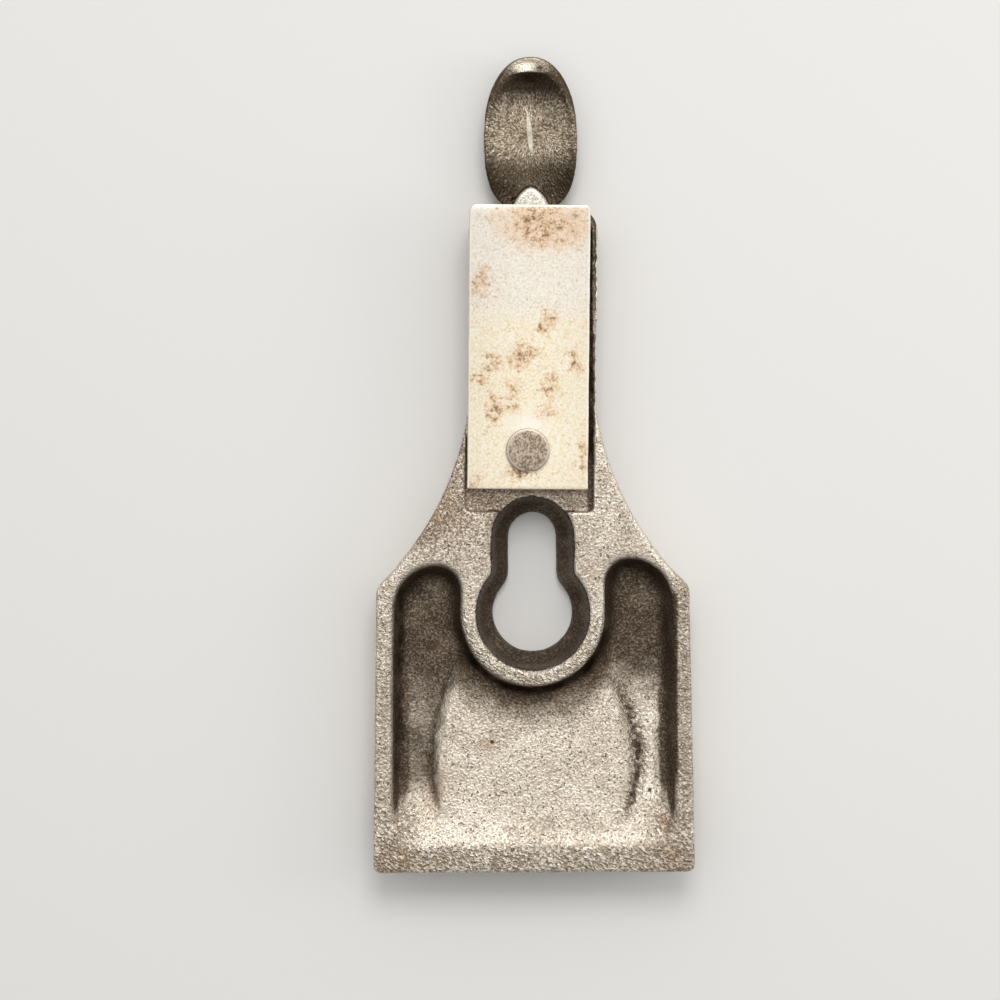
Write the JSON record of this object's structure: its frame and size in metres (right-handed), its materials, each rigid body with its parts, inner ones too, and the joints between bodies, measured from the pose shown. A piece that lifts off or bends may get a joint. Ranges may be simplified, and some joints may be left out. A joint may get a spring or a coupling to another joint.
{
  "type": "plane lever cap",
  "caption": "Cast iron lever cap of a smoothing plane, with a keyhole, hollow underside, riveted leaf spring and a cam lever that locks it down.",
  "frame": {"origin": "under the middle of the bounding box, on the surface that the outer face lies on", "axes": "+Y from the lip to the tip of the cam lever, +X across the cap, +Z out of the underside, towards the leaf spring"},
  "size_m": [0.0508, 0.129, 0.0111],
  "materials": {
    "lever_cap": "bare sand-cast grain, brown-grey, worn bright on its rims",
    "leaf_spring": "ground flat, pale, with rust freckles",
    "spring_rivet": "dull grey-brown, filed flat",
    "cam_lever": "dark brown patina, wrinkled in the hollow, worn bright at the tip",
    "cam_pin": "plain turned steel"
  },
  "bodies": {
    "cap": {"lever_cap": "lever_cap", "spring_rivet": "spring_rivet", "cam_pin": "cam_pin"},
    "lever": {"cam_lever": "cam_lever"},
    "spring": {"leaf_spring": "leaf_spring"}
  },
  "joints": [
    {"name": "lever_turn", "type": "hinge", "parent": "cap", "child": "lever", "pos_m": [0, 0.0364, 0.0047], "axis": [-1, 0, 0], "range_deg": [0, 90]},
    {"name": "spring_flex", "type": "hinge", "parent": "cap", "child": "spring", "pos_m": [-0.0007, 0.002, 0.0089], "axis": [-1, 0, 0], "range_deg": [0, 1.1]}
  ],
  "couplings": [
    {"joint": "spring_flex", "follows": "lever_turn", "ratio": 0.012}
  ]
}
